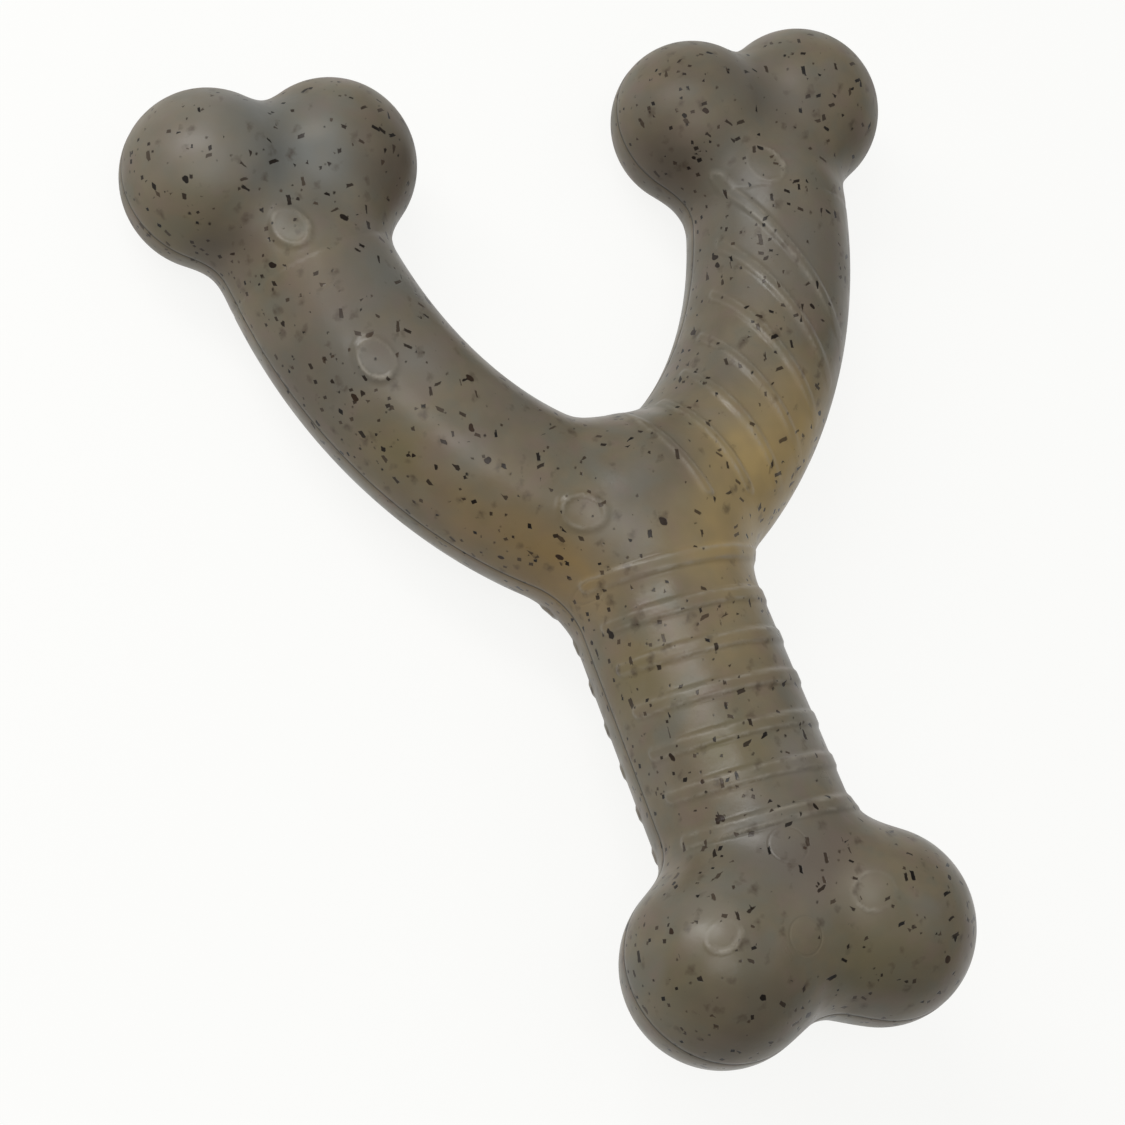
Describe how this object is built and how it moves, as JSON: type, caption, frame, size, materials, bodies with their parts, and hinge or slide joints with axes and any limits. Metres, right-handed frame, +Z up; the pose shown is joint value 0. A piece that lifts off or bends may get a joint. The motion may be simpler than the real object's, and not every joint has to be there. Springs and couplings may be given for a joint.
{
  "type": "rubber chew toy",
  "caption": "Wishbone-shaped rubber chew toy: a ringed handle and two curved prongs, each ending in a rounded double-lobed knuckle, bowed so that the handle stands off the floor.",
  "frame": {"origin": "floor level under the centre of the bounding box, which is 3 mm behind the middle of the fork", "axes": "+Y from the handle towards the prongs, +X towards the ridged prong, +Z up from the floor, on the hollow side of the bow"},
  "size_m": [0.1446, 0.1795, 0.0515],
  "materials": {
    "body": "slightly glossy, slightly translucent grey-brown with dark flecks",
    "knuckle": "slightly glossy, slightly translucent grey-brown with dark flecks"
  },
  "bodies": {
    "root": {"handle": "body", "left_prong": "body", "right_prong": "body", "handle_lobe_left": "knuckle", "handle_lobe_right": "knuckle", "left_prong_lobe_outer": "knuckle", "left_prong_lobe_inner": "knuckle", "right_prong_lobe_inner": "knuckle", "right_prong_lobe_outer": "knuckle"}
  },
  "joints": []
}
